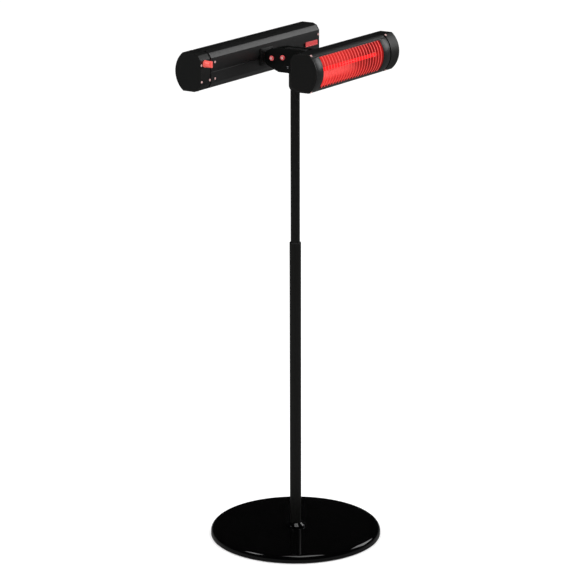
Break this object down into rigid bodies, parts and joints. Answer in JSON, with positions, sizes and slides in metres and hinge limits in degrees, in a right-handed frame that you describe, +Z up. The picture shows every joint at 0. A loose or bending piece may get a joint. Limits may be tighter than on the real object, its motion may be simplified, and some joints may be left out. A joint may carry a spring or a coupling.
{
  "type": "outdoor heater",
  "caption": "Free-standing electric outdoor heater: round weighted base, telescopic pole, and radiant heads back to back that tilt at the top.",
  "frame": {"origin": "centre of the underside of the pad under the base, on the pole's axis", "axes": "+Z up along the pole, +X along the heads, -Y out of the front head and +Y out of the rear head"},
  "size_m": [0.726, 0.6, 1.764],
  "materials": {
    "rubber": "matt moulded anti-slip pad",
    "gloss_black_paint": "high gloss black stoved enamel",
    "concrete": "rough cast concrete",
    "zinc_steel": "bright zinc plated",
    "satin_black_tube": "satin black powder coat",
    "black_cast_aluminium": "cast, satin black coat",
    "black_coated_aluminium": "extruded, fine black powder coat",
    "black_plastic": "fine textured moulding",
    "nylon": "natural moulded nylon",
    "red_capped_steel": "steel bolt with a red cap",
    "guard_steel": "black coated slotted guard",
    "polished_aluminium": "mirror polished and hammered",
    "ceramic": "unglazed white ceramic",
    "ruby_quartz": "ruby tinted quartz",
    "glowing_filament": "red hot coil",
    "red_enamel": "plain red enamelled plate",
    "red_plastic": "moulded red knob"
  },
  "bodies": {
    "stand": {"base_pad": "rubber", "base_cover": "gloss_black_paint", "base_weight": "concrete", "base_washer": "zinc_steel", "base_bolt": "zinc_steel", "foot_plug": "zinc_steel", "foot_collar": "gloss_black_paint", "lower_tube": "satin_black_tube", "guide_bush": "black_plastic"},
    "lock": {"lock_plug": "nylon"},
    "mast": {"mast_end_plug": "zinc_steel", "upper_tube": "satin_black_tube", "pole_head": "black_cast_aluminium", "bracket_plate_left": "satin_black_tube", "bracket_plate_right": "satin_black_tube", "rear_pole_bolt": "red_capped_steel", "rear_pole_nut": "zinc_steel", "front_pole_bolt": "red_capped_steel", "front_pole_nut": "zinc_steel", "rear_pivot_bolt": "red_capped_steel", "rear_pivot_nut": "zinc_steel", "front_pivot_bolt": "red_capped_steel", "front_pivot_nut": "zinc_steel"},
    "rear_head": {"rear_housing": "black_coated_aluminium", "rear_end_plate": "black_plastic", "rear_bulkhead": "black_plastic", "rear_control_cap": "black_plastic", "rear_guard": "guard_steel", "rear_reflector": "polished_aluminium", "rear_lamp_holder_outer": "ceramic", "rear_lamp_holder_inner": "ceramic", "rear_lamp_tube": "ruby_quartz", "rear_filament": "glowing_filament", "rear_badge": "red_enamel", "rear_lug": "black_cast_aluminium", "rear_switch": "nylon", "rear_terminal_block": "nylon", "rear_gland": "black_plastic"},
    "rear_dial": {"rear_knob": "red_plastic"},
    "front_head": {"front_housing": "black_coated_aluminium", "front_end_plate": "black_plastic", "front_bulkhead": "black_plastic", "front_control_cap": "black_plastic", "front_guard": "guard_steel", "front_reflector": "polished_aluminium", "front_lamp_holder_outer": "ceramic", "front_lamp_holder_inner": "ceramic", "front_lamp_tube": "ruby_quartz", "front_filament": "glowing_filament", "front_badge": "red_enamel", "front_lug": "black_cast_aluminium", "front_switch": "nylon", "front_terminal_block": "nylon", "front_gland": "black_plastic"},
    "front_dial": {"front_knob": "red_plastic"}
  },
  "joints": [
    {"name": "pole_slide", "type": "slide", "parent": "stand", "child": "lock", "axis": [0, 0, 1], "range_m": [-0.53, 0.28]},
    {"name": "mast_swivel", "type": "hinge", "parent": "lock", "child": "mast", "pos_m": [0, 0, 1], "axis": [0, 0, 1], "continuous": true},
    {"name": "rear_tilt", "type": "hinge", "parent": "mast", "child": "rear_head", "pos_m": [0, 0.076, 1.7], "axis": [1, 0, 0], "range_deg": [-60, 30]},
    {"name": "front_tilt", "type": "hinge", "parent": "mast", "child": "front_head", "pos_m": [0, -0.076, 1.7], "axis": [-1, 0, 0], "range_deg": [-60, 30]},
    {"name": "rear_dial_turn", "type": "hinge", "parent": "rear_head", "child": "rear_dial", "pos_m": [-0.363, 0.118, 1.729], "axis": [0, -1, 0], "range_deg": [0, 270]},
    {"name": "front_dial_turn", "type": "hinge", "parent": "front_head", "child": "front_dial", "pos_m": [0.295, -0.118, 1.729], "axis": [0, 1, 0], "range_deg": [0, 270]}
  ]
}
